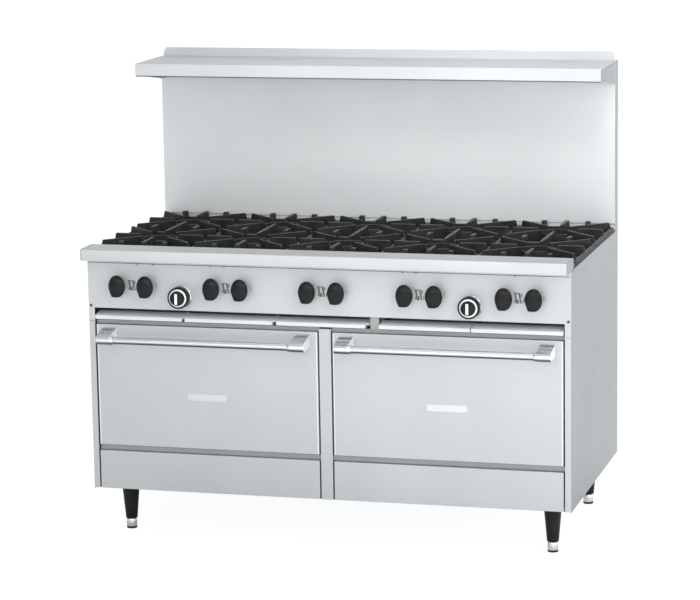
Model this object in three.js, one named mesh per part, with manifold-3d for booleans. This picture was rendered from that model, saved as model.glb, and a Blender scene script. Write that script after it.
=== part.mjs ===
// Commercial gas range: ten burners over two ovens, with a backguard and a high shelf.
// Millimetres, +Z up. X runs along the front and -Y faces the cook. Pieces are laid out from the
// plane of the front stiles (y = 0) and the floor (z = 0); the exported group then moves them so
// that the origin is the middle of the range's box on the floor.
import * as THREE from "three";
import { mergeVertices } from "three/addons/utils/BufferGeometryUtils.js";
import Module from "manifold-3d";

const wasm = await Module();
wasm.setup();

// ---- Driving dimensions ----

const SHEET = 2; // thickness of the folded sheet metal
const GAP = 0.3; // left between pieces that touch
const BODY = { half: 750, rear: 795, bottom: 152, top: 879 };
const FLOOR_OF_BODY = 154; // underside of the base pan
const DECK = 684; // underside of the deck between the ovens and the burners

const SECTIONS = [-600, -300, 0, 300, 600]; // centre of each pair of burners
const BURNER_ROWS = { front: 245, rear: 567 };

const RAIL = { front: -58, rear: 40, top: 912, bottom: 876, nose: 4, heel: 3 };
const VALVE_PANEL = { bottom: 722, hem: 12 };
const EAR = { bottom: 681, inner: 731 };

const KNOB = { spacing: 45, height: 796, half: 26.5, tall: 34.5, front: -45, back: -7, stem: 5 };
const KNOB_TIP = { angle: (-117 / 180) * Math.PI, length: 4 };
const THERMOSTATS = { left: -450, right: 450 };
const THERMOSTAT = { height: 766, front: -54, dial: 33, face: -36, grip: 23, bezel: 34.5 };

const TRAY = { half: 139, depth: 690, bottom: 687, lip: 700, rim: 705, ledge: 50, wall: 1.5 };
const TRAY_CENTRES = [-591, -303, -13, 307, 588];
const TRAY_DIVIDER = { left: 140.5, right: 167.5, top: 721.5 };

const CENTRE_STILE = 18.5; // half its width
const BAY = { centre: 375, doorHalf: 351.5, kickHalf: 352 };
const DOOR = { bottom: 293, top: 671, depth: 30 };
const KICK = { bottom: 154.3, top: 274, depth: 24 };
const FACE_PLATE = 36; // front of the sheet that the doors close against
const MIDDLE_RAIL = { front: 12, bottom: 274.5, top: 290 };
const TOP_RAIL = { front: 14, bottom: 675, top: 683.7 };

const OVEN = { half: 330, bottom: 305, top: 641, rear: 666, flange: 15 };
const PLUG = { margin: 6, rear: 46 };
const RACK = { level: 400, ledge: 10, rod: 7, depth: 590, wires: 9 };
const SPARE_LEDGE = 480;

const HANDLE = { reach: 307, front: -76, top: 663, noseTop: 648, bottom: 620 };
const BRACKET_HALF = 21.5;
const BAR = { y: -62, z: 634, radius: 11, collar: 14, neck: 12 };

const LEG = { x: 672, front: 114, rear: 702, topRadius: 29, footRadius: 18.3 };
const FOOT = { height: 32, radius: 16.5, stem: 8, stemTop: 72 };

const TOP_FRAME = { front: 42, rear: 727.7, bottom: 862, top: 881.7 };
const WELL = { half: 138, front: 62, rear: 715 };
const FRONT_LEDGE = { rear: 84.5, top: 893 };
const GRATE = { width: 298, depth: 320, bottom: 882, frame: 895, top: 915, bar: 12 };
const FIN = { inner: [38, 40], outer: [142, 140], width: 8, bottom: 875 };
const GRATE_RING = { inner: 51, outer: 59, bottom: 883, top: 902 };
const FINGER = { half: 5, startX: 54, startY: 50 };
const LUG = { x: 70, half: 7, length: 26 };
const BURNER = { rim: 52, rimTop: 865, cap: 32, top: 880 };

const GUARD = { front: 740, bottom: 879.3, top: 1418.7 };
const GUARD_LEDGE = { front: 728, bottom: 890, top: 896 };
const SHELF = { front: 485, top: 1421, lip: 1382, gusset: 1348, back: 762 };
const UPSTAND = { half: 747, top: 1448, corner: 16 };

const ROUND = 20; // sides of a round piece
const SMALL_ROUND = 12; // sides of a rod or stem

// ---- Materials ----

const material = (color, metalness, roughness) =>
  new THREE.MeshStandardMaterial({ color, metalness, roughness, flatShading: true });
const stainless = material(0xc8cccc, 0.9, 0.35);
const chrome = material(0xdddddd, 1, 0.12);
const castIron = material(0x3c3d3e, 0.4, 0.75);
const blackPlastic = material(0x1e1e20, 0, 0.4);
const blackEnamel = material(0x242527, 0.1, 0.35);
const ovenEnamel = material(0x55575a, 0.1, 0.3);
const plainSteel = material(0x9fa3a3, 0.8, 0.5);

// ---- Solids ----

/** A closed three.js geometry as a solid that can be joined and cut. */
function solidOf(geometry) {
  geometry.deleteAttribute("normal");
  geometry.deleteAttribute("uv");
  const merged = mergeVertices(geometry, 1e-4);
  const mesh = new wasm.Mesh({
    numProp: 3,
    vertProperties: merged.attributes.position.array,
    triVerts: new Uint32Array(merged.index.array),
  });
  return new wasm.Manifold(mesh);
}

const block = (x0, x1, y0, y1, z0, z1) =>
  solidOf(
    new THREE.BoxGeometry(x1 - x0, y1 - y0, z1 - z0).translate(
      (x0 + x1) / 2,
      (y0 + y1) / 2,
      (z0 + z1) / 2,
    ),
  );

const join = (first, ...rest) => rest.reduce((sum, next) => sum.add(next), first);
const cut = (base, ...tools) => tools.reduce((left, tool) => left.subtract(tool), base);
const mirrored = (solid) => solid.mirror([1, 0, 0]);

/** A shape drawn in (y, z), extruded along X from x0 to x1. */
function extrudeX(shape, x0, x1) {
  const along = new THREE.ExtrudeGeometry(shape, { depth: x1 - x0, bevelEnabled: false });
  const turn = new THREE.Matrix4().makeBasis(
    new THREE.Vector3(0, 1, 0),
    new THREE.Vector3(0, 0, 1),
    new THREE.Vector3(1, 0, 0),
  );
  return solidOf(along.applyMatrix4(turn).translate(x0, 0, 0));
}

const outline = (points) => new THREE.Shape(points.map(([a, b]) => new THREE.Vector2(a, b)));

/** Turns a profile of [radius, height] pairs about the Z axis. */
const turned = (profile, sides = ROUND) =>
  solidOf(new THREE.LatheGeometry(profile.map(([r, h]) => new THREE.Vector2(r, h)), sides)
    .rotateX(Math.PI / 2));

/** The same about the Y axis, with the heights running back from the front. */
const turnedY = (profile, sides = ROUND) =>
  solidOf(new THREE.LatheGeometry(profile.map(([r, h]) => new THREE.Vector2(r, h)), sides));

const rodX = (radius, x0, x1, y, z, sides = ROUND) =>
  solidOf(new THREE.CylinderGeometry(radius, radius, x1 - x0, sides)
    .rotateZ(Math.PI / 2).translate((x0 + x1) / 2, y, z));

const rodY = (radius, x, y0, y1, z, sides = ROUND) =>
  solidOf(new THREE.CylinderGeometry(radius, radius, y1 - y0, sides)
    .translate(x, (y0 + y1) / 2, z));

// ---- Body ----

/** Base pan, rear panel, deck, the web between the ovens and the rails under them. */
function chassis() {
  const half = BODY.half - SHEET - GAP;
  const pan = block(-half, half, FACE_PLATE + SHEET + GAP, BODY.rear - SHEET,
    FLOOR_OF_BODY, FLOOR_OF_BODY + SHEET);
  const rear = block(-half, half, BODY.rear - SHEET, BODY.rear, FLOOR_OF_BODY, BODY.top);
  const deck = block(-half, half, FACE_PLATE + 3 * SHEET, BODY.rear - SHEET, DECK, DECK + SHEET);
  const web = block(-8, 8, FACE_PLATE + 3 * SHEET, BODY.rear - SHEET, FLOOR_OF_BODY, DECK);
  const carriers = [-1, 1].flatMap((side) =>
    [-275, 275].map((offset) => {
      const x = side * BAY.centre + offset;
      const top = OVEN.bottom - SHEET - GAP;
      return block(x - 10, x + 10, 60, 650, FLOOR_OF_BODY, top);
    }),
  );
  return join(pan, rear, deck, web, ...carriers);
}

/** The right side panel, with the stile that it folds into at the front. */
function sidePanel() {
  const behindEar = SHEET + GAP;
  const sheet = extrudeX(
    outline([
      [0, BODY.bottom],
      [BODY.rear, BODY.bottom],
      [BODY.rear, BODY.top],
      [RAIL.rear + GAP, BODY.top],
      [RAIL.rear + GAP, RAIL.bottom - GAP],
      [behindEar, RAIL.bottom - GAP],
      [behindEar, EAR.bottom],
      [0, EAR.bottom],
    ]),
    BODY.half - SHEET,
    BODY.half,
  );
  const stile = block(EAR.inner, BODY.half, 0, SHEET, FLOOR_OF_BODY, EAR.bottom);
  return join(sheet, stile);
}

/** The face plate with its two oven openings, the centre stile and the rails between. */
function frontFrame() {
  const half = BODY.half - SHEET - GAP;
  const back = FACE_PLATE + SHEET;
  const across = EAR.inner - 2;
  const plate = block(-half, half, FACE_PLATE, back, FLOOR_OF_BODY, TOP_RAIL.top);
  const stile = block(-CENTRE_STILE, CENTRE_STILE, 0, back, FLOOR_OF_BODY, EAR.bottom);
  const middle = block(-across, across, MIDDLE_RAIL.front, back, MIDDLE_RAIL.bottom,
    MIDDLE_RAIL.top);
  const top = block(-across, across, TOP_RAIL.front, back, TOP_RAIL.bottom, TOP_RAIL.top);
  const toe = block(-across, across, 2 * SHEET, back, FLOOR_OF_BODY, FLOOR_OF_BODY + SHEET);
  const divider = block(TRAY_DIVIDER.left, TRAY_DIVIDER.right, 6, 6 + SHEET, TOP_RAIL.bottom,
    TRAY_DIVIDER.top);
  const dividerFoot = block(TRAY_DIVIDER.left, TRAY_DIVIDER.right, 6, back, TOP_RAIL.bottom,
    TOP_RAIL.top);
  const ovens = [-1, 1].map((side) =>
    block(side * BAY.centre - OVEN.half, side * BAY.centre + OVEN.half, FACE_PLATE - 1, back + 1,
      OVEN.bottom, OVEN.top),
  );
  const inStile = CENTRE_STILE - SHEET;
  const stileHollow = block(-inStile, inStile, SHEET, back + 1, FLOOR_OF_BODY + SHEET,
    EAR.bottom - SHEET);
  const railHollows = [-1, 1].map((side) => {
    const inner = side * (CENTRE_STILE + SHEET);
    const outer = side * (across - SHEET);
    return block(Math.min(inner, outer), Math.max(inner, outer), MIDDLE_RAIL.front + SHEET,
      FACE_PLATE, MIDDLE_RAIL.bottom - 1, MIDDLE_RAIL.top - SHEET);
  });
  return cut(join(plate, stile, middle, top, toe, divider, dividerFoot), ...ovens, stileHollow,
    ...railHollows);
}

/** The panel that carries the knobs, with an ear at each end and a hem along the bottom. */
function valvePanel() {
  const { bottom, hem } = VALVE_PANEL;
  const top = RAIL.bottom - GAP;
  const sheet = block(-BODY.half, BODY.half, 0, SHEET, bottom, top);
  const ear = block(EAR.inner, BODY.half, 0, SHEET, EAR.bottom + GAP, bottom);
  const hems = [bottom, top - SHEET].map((z) =>
    block(-EAR.inner, EAR.inner, 0, hem, z, z + SHEET),
  );
  const hole = (x, z) => rodY(KNOB.stem + 1, x, -5, 5, z, SMALL_ROUND);
  const stemHoles = SECTIONS.flatMap((x) =>
    [-KNOB.spacing, KNOB.spacing].map((dx) => hole(x + dx, KNOB.height)),
  );
  const thermostatHoles = Object.values(THERMOSTATS).map((x) => hole(x, THERMOSTAT.height));
  return cut(join(sheet, ear, mirrored(ear), ...hems), ...stemHoles, ...thermostatHoles);
}

/** The outline of the front rail, drawn in by an inset all round. */
function railOutline(inset) {
  const { front, rear, top, bottom, nose, heel } = RAIL;
  const shape = new THREE.Shape();
  shape.moveTo(rear - inset, bottom + inset);
  shape.lineTo(rear - inset, top - inset);
  shape.lineTo(front + nose, top - inset);
  shape.absarc(front + nose, top - nose, nose - inset, Math.PI / 2, Math.PI, false);
  shape.absarc(front + heel, bottom + heel, heel - inset, Math.PI, 1.5 * Math.PI, false);
  return shape;
}

/** The rounded front rail: a folded channel, open under its rear edge, with closed ends. */
function frontRail() {
  const inner = BODY.half - SHEET;
  const channel = extrudeX(railOutline(0), -BODY.half, BODY.half);
  const hollow = extrudeX(railOutline(SHEET), -inner, inner);
  const mouth = block(-inner, inner, 16, RAIL.rear - SHEET, RAIL.bottom - 1, RAIL.bottom + 4);
  const underside = block(-BODY.half - 1, BODY.half + 1, 16, RAIL.rear + 1, RAIL.bottom - 1,
    RAIL.bottom + SHEET);
  return cut(channel, hollow, mouth, underside);
}

/** The black frame that the grates rest on, with one well for each pair of burners. */
function topFrame() {
  const half = BODY.half - SHEET - GAP;
  const { front, rear, bottom, top } = TOP_FRAME;
  const rim = block(-half, half, front, rear, bottom, top);
  const ledge = block(-half, half, front, FRONT_LEDGE.rear, top - 1, FRONT_LEDGE.top);
  const wells = SECTIONS.map((x) =>
    block(x - WELL.half, x + WELL.half, WELL.front, WELL.rear, bottom - 1, top + 1),
  );
  return join(cut(rim, ...wells), cut(ledge, block(-half + SHEET, half - SHEET, front + SHEET,
    FRONT_LEDGE.rear - SHEET, bottom, FRONT_LEDGE.top - SHEET)));
}

/** The flue riser behind the burners: a tall box, open at the top, with a ledge at its foot. */
function backguard() {
  const { front, bottom, top } = GUARD;
  const walls = block(-BODY.half, BODY.half, front, BODY.rear, bottom, top);
  const flue = block(-BODY.half + SHEET, BODY.half - SHEET, front + SHEET, BODY.rear - SHEET,
    bottom + SHEET, top + 1);
  const ledge = block(-BODY.half, BODY.half, GUARD_LEDGE.front, front + SHEET, GUARD_LEDGE.bottom,
    GUARD_LEDGE.top);
  return join(cut(walls, flue), ledge);
}

/** The high shelf: a folded sheet with a front lip, end gussets and a rear upstand. */
function highShelf() {
  const { front, top, lip, gusset, back } = SHELF;
  const rear = GUARD.front - GAP;
  const inner = BODY.half - SHEET;
  const hem = 14;
  const profile = outline([[front, lip], [rear, gusset], [rear, top], [front, top]]);
  const hollow = (y0, y1, z0) => block(-inner, inner, y0, y1, z0, top - SHEET);
  const folded = cut(
    extrudeX(profile, -BODY.half, BODY.half),
    hollow(front + SHEET, front + hem, lip + SHEET),
    hollow(front + hem - 1, rear - SHEET, gusset - 1),
    hollow(rear - SHEET - 1, rear + 1, gusset - 1).intersect(
      block(-inner, inner, front, rear + 1, gusset - 2, lip + SHEET),
    ),
  );
  const tail = block(-BODY.half, BODY.half, rear - 1, back, top - SHEET, top);
  const upstand = new THREE.Shape();
  const { half, top: crest, corner } = UPSTAND;
  upstand.moveTo(-half, top - 1);
  upstand.lineTo(half, top - 1);
  upstand.absarc(half - corner, crest - corner, corner, 0, Math.PI / 2, false);
  upstand.absarc(corner - half, crest - corner, corner, Math.PI / 2, Math.PI, false);
  const upright = solidOf(
    new THREE.ExtrudeGeometry(upstand, { depth: SHEET, bevelEnabled: false, curveSegments: 5 })
      .rotateX(Math.PI / 2).translate(0, back, 0),
  );
  return join(folded, tail, upright);
}

// ---- Ovens ----

/** An oven's liner: a box open at the front, flanged to the face plate, with rack ledges. */
function ovenLiner() {
  const { half, bottom, top, rear, flange } = OVEN;
  const front = FACE_PLATE + SHEET + GAP;
  const outer = block(-half - SHEET, half + SHEET, front, rear + SHEET, bottom - SHEET,
    top + SHEET);
  const rim = block(-half - flange, half + flange, front, front + SHEET, bottom - flange,
    top + flange);
  const cavity = block(-half, half, front - 1, rear, bottom, top);
  const ledges = [RACK.level, SPARE_LEDGE].flatMap((z) => {
    const ledge = block(half - RACK.ledge, half + 1, 60, rear - 10, z - 4, z);
    return [ledge, mirrored(ledge)];
  });
  return join(cut(join(outer, rim), cavity), ...ledges);
}

/** A wire rack: a frame of rod with wires from front to back. */
function ovenRack() {
  const { rod, depth, wires, level } = RACK;
  const half = OVEN.half - 2;
  const front = 65;
  const bottom = level + GAP;
  const side = block(half - rod, half, front, front + depth, bottom, bottom + rod);
  const ends = [front + 1, front + depth / 2, front + depth - rod - 1].map((y) =>
    block(1 - half, half - 1, y, y + rod, bottom, bottom + rod - 1),
  );
  const pitch = (2 * half) / (wires + 1);
  const grid = Array.from({ length: wires }, (_, i) => {
    const x = -half + pitch * (i + 1);
    return block(x - 2, x + 2, front + 2, front + depth - 2, bottom + rod - 4, bottom + rod);
  });
  return join(side, mirrored(side), ...ends, ...grid);
}

/** A kick panel below a door, folded back at its top and sides. */
function kickPanel() {
  const { bottom, top, depth } = KICK;
  const half = BAY.kickHalf;
  const clear = FLOOR_OF_BODY + SHEET + GAP;
  const outer = block(-half, half, 0, depth, bottom, top);
  const inside = block(-half + SHEET, half - SHEET, SHEET, depth + 1, bottom - 1, top - SHEET);
  const toe = block(-half - 1, half + 1, SHEET, depth + 1, bottom - 1, clear);
  return cut(outer, inside, toe);
}

/** A door's outer shell: a shallow pan open at the back. */
function doorPanel() {
  const half = BAY.doorHalf;
  const { bottom, top, depth } = DOOR;
  const outer = block(-half, half, 0, depth, bottom, top);
  const inside = block(-half + SHEET, half - SHEET, SHEET, depth + 1, bottom + SHEET, top - SHEET);
  return cut(outer, inside);
}

/** A door's inner liner: a plate that closes the shell, and a plug that fills the opening. */
function doorLiner() {
  const front = DOOR.depth + GAP;
  const edge = 6;
  const half = BAY.doorHalf - edge;
  const plugHalf = OVEN.half - PLUG.margin;
  const plate = block(-half, half, front, front + SHEET, DOOR.bottom + edge, DOOR.top - edge);
  const low = OVEN.bottom + PLUG.margin;
  const high = OVEN.top - PLUG.margin;
  const plug = block(-plugHalf, plugHalf, front, PLUG.rear, low, high);
  const hollow = block(-plugHalf + SHEET, plugHalf - SHEET, front - 1, PLUG.rear - SHEET,
    low + SHEET, high - SHEET);
  return cut(join(plate, plug), hollow);
}

/** A door handle: a round bar between two end brackets. */
function doorHandle() {
  const { reach, front, top, noseTop, bottom } = HANDLE;
  const side = outline([
    [-GAP, bottom],
    [-GAP, top],
    [front + 8, noseTop + 1],
    [front, noseTop - 6],
    [front, bottom + 10],
    [front + 14, bottom],
  ].reverse());
  const bracket = extrudeX(side, reach - BRACKET_HALF, reach + BRACKET_HALF);
  const inner = reach - BRACKET_HALF;
  const bar = rodX(BAR.radius, -inner - 1, inner + 1, BAR.y, BAR.z);
  const collar = rodX(BAR.collar, inner - BAR.neck, inner + 1, BAR.y, BAR.z);
  return join(bracket, mirrored(bracket), bar, collar, mirrored(collar));
}

// ---- Feet ----

/** A leg: a tapered shell bored for its levelling foot. */
function leg() {
  const top = FLOOR_OF_BODY - GAP;
  const foot = FOOT.height + GAP;
  const bore = FOOT.stem + 0.5;
  return turned([
    [0, FOOT.stemTop + 4],
    [bore, FOOT.stemTop + 4],
    [bore, foot],
    [LEG.footRadius, foot],
    [LEG.topRadius - 1, top - 10],
    [LEG.topRadius, top - 8],
    [LEG.topRadius, top],
    [0, top],
  ]);
}

/** A levelling foot: a round pad with the stem that screws up into the leg. */
function foot() {
  const { height, radius, stem, stemTop } = FOOT;
  return turned([
    [0, 0],
    [radius, 0],
    [radius, 4],
    [radius - 1.5, 6],
    [radius - 1.5, height - 2],
    [radius - 3, height],
    [stem, height],
    [stem, stemTop],
    [0, stemTop],
  ]);
}

// ---- Controls ----

/** The radius of a burner knob's outline at an angle: an oval with a blunt tip. */
function knobRadius(angle) {
  const toTip = Math.cos(angle - KNOB_TIP.angle);
  const oval = 1 / Math.hypot(Math.cos(angle) / KNOB.half, Math.sin(angle) / KNOB.tall);
  return oval + KNOB_TIP.length * Math.max(0, toTip) ** 14;
}

/** A burner knob with its stem: an oval grip with a blunt pointer at its lower left. */
function burnerKnob() {
  const sides = 18;
  const ring = (scale) =>
    Array.from({ length: sides }, (_, i) => {
      const angle = (i / sides) * 2 * Math.PI;
      const r = knobRadius(angle) * scale;
      return new THREE.Vector2(r * Math.cos(angle), r * Math.sin(angle));
    });
  const slice = (scale, y0, y1) =>
    solidOf(
      new THREE.ExtrudeGeometry(new THREE.Shape(ring(scale)), {
        depth: y1 - y0,
        bevelEnabled: false,
      }).rotateX(Math.PI / 2).translate(0, y1, 0),
    );
  const { front, back, stem } = KNOB;
  const neck = slice(0.6, back - 13, back);
  const head = slice(1, front + 6, back - 12);
  const face = slice(0.8, front + 2, front + 7);
  const crown = slice(0.5, front, front + 3);
  return join(neck, head, face, crown, rodY(stem, 0, back - 1, 26, 0, SMALL_ROUND));
}

/** A thermostat knob: a skirted dial with a raised grip, a pointer bar and its stem. */
function thermostatKnob() {
  const { front, dial, face, grip } = THERMOSTAT;
  const body = turnedY([
    [0, front],
    [grip - 6, front],
    [grip - 2, front + 4],
    [grip, face - 1.5],
    [dial, face],
    [dial, -12],
    [dial - 3, -8.2],
    [KNOB.stem, -8.2],
    [KNOB.stem, 26],
    [0, 26],
  ]);
  return join(body, block(-4, 4, front - 1, front + 1, -17, 17));
}

/** The fixed collar behind a thermostat knob. */
function thermostatBezel() {
  const { bezel, grip } = THERMOSTAT;
  return turnedY([
    [grip, -GAP],
    [grip, -6],
    [bezel - 3, -7],
    [bezel, -4],
    [bezel, -GAP],
    [grip, -GAP],
  ]);
}

/** A crumb tray: a shallow pan behind a folded front ledge. */
function crumbTray() {
  const { half, depth, bottom, lip, rim, ledge, wall } = TRAY;
  const outer = block(-half, half, 0, depth, bottom, rim);
  const pan = block(wall - half, half - wall, ledge, depth - wall, bottom + wall, rim + 1);
  const step = block(-half - 1, half + 1, -1, ledge, lip, rim + 1);
  const underLedge = block(wall - half, half - wall, wall, ledge - wall, bottom - 1, lip - wall);
  return cut(outer, pan, step, underLedge);
}

// ---- Burners ----

/** One row of burners: five heads, the tube under each, and the pipe that feeds them. */
function burnerRow(y, pipe) {
  const radius = 13;
  const heads = SECTIONS.map((x) =>
    turned([
      [0, pipe.z - radius],
      [28, pipe.z - radius],
      [30, 832],
      [44, 846],
      [BURNER.rim, 850],
      [BURNER.rim, BURNER.rimTop - 3],
      [BURNER.rim - 8, BURNER.rimTop],
      [BURNER.cap, BURNER.rimTop],
      [BURNER.cap, BURNER.top - 4],
      [BURNER.cap - 6, BURNER.top],
      [0, BURNER.top],
    ], 16).translate(x, y, 0),
  );
  const tubes = SECTIONS.map((x) => rodY(radius, x, pipe.y, y, pipe.z, SMALL_ROUND));
  const across = SECTIONS.at(-1) + 90;
  return join(rodX(radius, -across, across, pipe.y, pipe.z, SMALL_ROUND), ...tubes, ...heads);
}

/** A cast grate: a frame, a ring round the burner, four tall fins, four fingers and four lugs. */
function grate() {
  const { width, depth, bottom, frame, top, bar } = GRATE;
  const x = width / 2;
  const y = depth / 2;
  const border = cut(
    block(-x, x, -y, y, bottom, frame),
    block(bar - x, x - bar, bar - y, y - bar, bottom - 1, frame + 1),
  );
  const quarter = (sx, sy) => {
    const [ax, ay] = FIN.inner;
    const [bx, by] = FIN.outer;
    const length = Math.hypot(bx - ax, by - ay);
    const angle = Math.atan2(sy * (by - ay), sx * (bx - ax));
    const half = FIN.width / 2;
    const blade = new THREE.BoxGeometry(length, 2 * half, top - FIN.bottom)
      .rotateZ(angle)
      .translate((sx * (ax + bx)) / 2, (sy * (ay + by)) / 2, (top + FIN.bottom) / 2);
    return solidOf(blade);
  };
  const fins = [-1, 1].flatMap((sx) => [-1, 1].map((sy) => quarter(sx, sy)));
  const envelope = join(
    block(-x + 2, x - 2, -y + 2, y - 2, bottom, top + 1),
    block(2 - WELL.half, WELL.half - 2, bar - y, y - bar, FIN.bottom - 1, frame),
  );
  const trimmed = join(...fins).intersect(envelope);
  const across = block(FINGER.startX, x, -FINGER.half, FINGER.half, bottom, top);
  const along = block(-FINGER.half, FINGER.half, FINGER.startY, y, bottom, top);
  const fingers = [across, mirrored(across), along, along.mirror([0, 1, 0])];
  const lugs = [-LUG.x, LUG.x].flatMap((lugX) => {
    const lug = block(lugX - LUG.half, lugX + LUG.half, y - LUG.length, y, bottom, top);
    return [lug, lug.mirror([0, 1, 0])];
  });
  const ring = GRATE_RING;
  const hoop = turned([
    [ring.inner, ring.bottom],
    [ring.outer, ring.bottom],
    [ring.outer, ring.top],
    [ring.inner, ring.top],
    [ring.inner, ring.bottom],
  ]);
  return join(border, trimmed, hoop, ...fingers, ...lugs);
}

// ---- Assembly ----

/** Adds a solid to a group as a named mesh at a place. */
function place(group, name, solid, look, x = 0, y = 0, z = 0) {
  const { numProp, vertProperties, triVerts } = solid.getMesh();
  const geometry = new THREE.BufferGeometry();
  geometry.setAttribute("position", new THREE.BufferAttribute(vertProperties, numProp));
  geometry.setIndex(new THREE.BufferAttribute(triVerts, 1));
  const mesh = new THREE.Mesh(geometry, look);
  mesh.name = name;
  mesh.position.set(x, y, z);
  group.add(mesh);
}

function addBody(group) {
  place(group, "chassis", chassis(), plainSteel);
  const side = sidePanel();
  place(group, "right_side_panel", side, stainless);
  place(group, "left_side_panel", mirrored(side), stainless);
  place(group, "front_frame", frontFrame(), plainSteel);
  place(group, "valve_panel", valvePanel(), stainless);
  place(group, "front_rail", frontRail(), stainless);
  place(group, "top_frame", topFrame(), blackEnamel);
  place(group, "backguard", backguard(), stainless);
  place(group, "high_shelf", highShelf(), stainless);
}

function addOven(group, side, x) {
  const bay = new THREE.Group();
  bay.position.x = x;
  place(bay, `oven_liner_${side}`, ovenLiner(), ovenEnamel);
  place(bay, `oven_rack_${side}`, ovenRack(), chrome);
  place(bay, `kick_panel_${side}`, kickPanel(), stainless);
  place(bay, `door_panel_${side}`, doorPanel(), stainless);
  place(bay, `door_liner_${side}`, doorLiner(), ovenEnamel);
  place(bay, `door_handle_${side}`, doorHandle(), chrome);
  group.add(bay);
}

function addLegs(group) {
  for (const [end, y] of [["front", LEG.front], ["rear", LEG.rear]]) {
    for (const [side, x] of [["left", -LEG.x], ["right", LEG.x]]) {
      place(group, `leg_${end}_${side}`, leg(), blackPlastic, x, y);
      place(group, `foot_${end}_${side}`, foot(), chrome, x, y);
    }
  }
}

function addControls(group) {
  SECTIONS.forEach((x, i) => {
    place(group, `burner_knob_front_${i + 1}`, burnerKnob(), blackPlastic,
      x - KNOB.spacing, 0, KNOB.height);
    place(group, `burner_knob_rear_${i + 1}`, burnerKnob(), blackPlastic,
      x + KNOB.spacing, 0, KNOB.height);
  });
  for (const [side, x] of Object.entries(THERMOSTATS)) {
    place(group, `thermostat_bezel_${side}`, thermostatBezel(), chrome, x, 0, THERMOSTAT.height);
    place(group, `thermostat_knob_${side}`, thermostatKnob(), blackPlastic,
      x, 0, THERMOSTAT.height);
  }
}

function addCooktop(group) {
  place(group, "burners_front_row", burnerRow(BURNER_ROWS.front, { y: 84, z: 816 }), castIron);
  place(group, "burners_rear_row", burnerRow(BURNER_ROWS.rear, { y: 52, z: 780 }), castIron);
  for (const [row, y] of Object.entries(BURNER_ROWS)) {
    SECTIONS.forEach((x, i) => place(group, `grate_${row}_${i + 1}`, grate(), castIron, x, y));
  }
  TRAY_CENTRES.forEach((x, i) => {
    place(group, `crumb_tray_${i + 1}`, crumbTray(), stainless, x);
  });
}

const range = new THREE.Group();
range.position.y = -(BODY.rear + HANDLE.front) / 2;
addBody(range);
addOven(range, "left", -BAY.centre);
addOven(range, "right", BAY.centre);
addLegs(range);
addControls(range);
addCooktop(range);

const part = new THREE.Group();
part.add(range);

export default part;
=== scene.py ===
"""A restaurant gas range with two ovens and ten burners: the looks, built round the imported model.

Blender works in metres. Pieces here are drawn in millimetres from the plane of the front stiles
(y = 0) and the floor (z = 0), X to the right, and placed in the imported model's own frame.
"""

import math

import bmesh
import bpy
from mathutils import Matrix, Vector


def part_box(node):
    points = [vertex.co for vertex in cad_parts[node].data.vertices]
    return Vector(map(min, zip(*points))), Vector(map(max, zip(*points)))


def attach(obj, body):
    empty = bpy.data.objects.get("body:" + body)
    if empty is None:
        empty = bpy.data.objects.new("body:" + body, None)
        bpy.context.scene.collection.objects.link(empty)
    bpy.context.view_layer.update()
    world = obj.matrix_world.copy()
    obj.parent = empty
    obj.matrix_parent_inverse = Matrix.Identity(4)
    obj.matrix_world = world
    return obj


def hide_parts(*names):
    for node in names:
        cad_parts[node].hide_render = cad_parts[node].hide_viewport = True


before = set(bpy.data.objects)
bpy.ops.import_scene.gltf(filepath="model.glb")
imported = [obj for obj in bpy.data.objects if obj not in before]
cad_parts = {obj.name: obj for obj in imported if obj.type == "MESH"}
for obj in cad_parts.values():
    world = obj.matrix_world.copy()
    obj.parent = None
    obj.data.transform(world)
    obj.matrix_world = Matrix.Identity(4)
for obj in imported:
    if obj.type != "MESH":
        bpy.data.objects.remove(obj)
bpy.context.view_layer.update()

MM = 0.001
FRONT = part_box("right_side_panel")[0][1]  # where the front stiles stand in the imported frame
SECTIONS = (-600, -300, 0, 300, 600)  # the middle of each pair of burners
ROWS = {"front": 245, "rear": 567}
SIDES = {"left": -1, "right": 1}
HALF = 750  # half the width of the body
REAR = 795  # the back of the body
BODY_TOP = 879
SHEET = 2  # thickness of the folded sheet
BAY = 375  # from the middle of the range to the middle of a door
STILE = 18.5  # half the width of the centre stile
EAR_INNER = 731  # the inner edge of an end stile, and of the valve panel's ear above it
EAR_BOTTOM = 681
DOOR_TOP = 671
FACE_PLATE = 36  # the front of the sheet that the doors close against
OVEN_HALF, OVEN_BOTTOM, OVEN_TOP = 330, 305, 641
RAIL_REAR, RAIL_BOTTOM = 40, 876
GUARD_FRONT = 740  # the front of the backguard, where the shelf's gussets end
PRINT = (-0.3, 0.2)  # the front and back of a mark printed on the valve panel


# ---- Materials ----


def nodes_of(name, color):
    """A new material with only a Principled shader, and its tree."""
    material = bpy.data.materials.new(name)
    material.use_nodes = True
    tree = material.node_tree
    shader = tree.nodes["Principled BSDF"]
    shader.inputs["Base Color"].default_value = (*color, 1)
    return material, tree, shader


def noise(tree, scale, stretch=(1, 1, 1), detail=3.0, seed=0.0):
    """Noise in the object's own coordinates, drawn out along the axis with the smallest stretch."""
    place = tree.nodes.new("ShaderNodeTexCoord")
    mapping = tree.nodes.new("ShaderNodeMapping")
    mapping.inputs["Scale"].default_value = stretch
    mapping.inputs["Location"].default_value = (seed, seed, seed)
    texture = tree.nodes.new("ShaderNodeTexNoise")
    texture.inputs["Scale"].default_value = scale
    texture.inputs["Detail"].default_value = detail
    tree.links.new(place.outputs["Object"], mapping.inputs["Vector"])
    tree.links.new(mapping.outputs["Vector"], texture.inputs["Vector"])
    return texture.outputs["Fac"]


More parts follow.
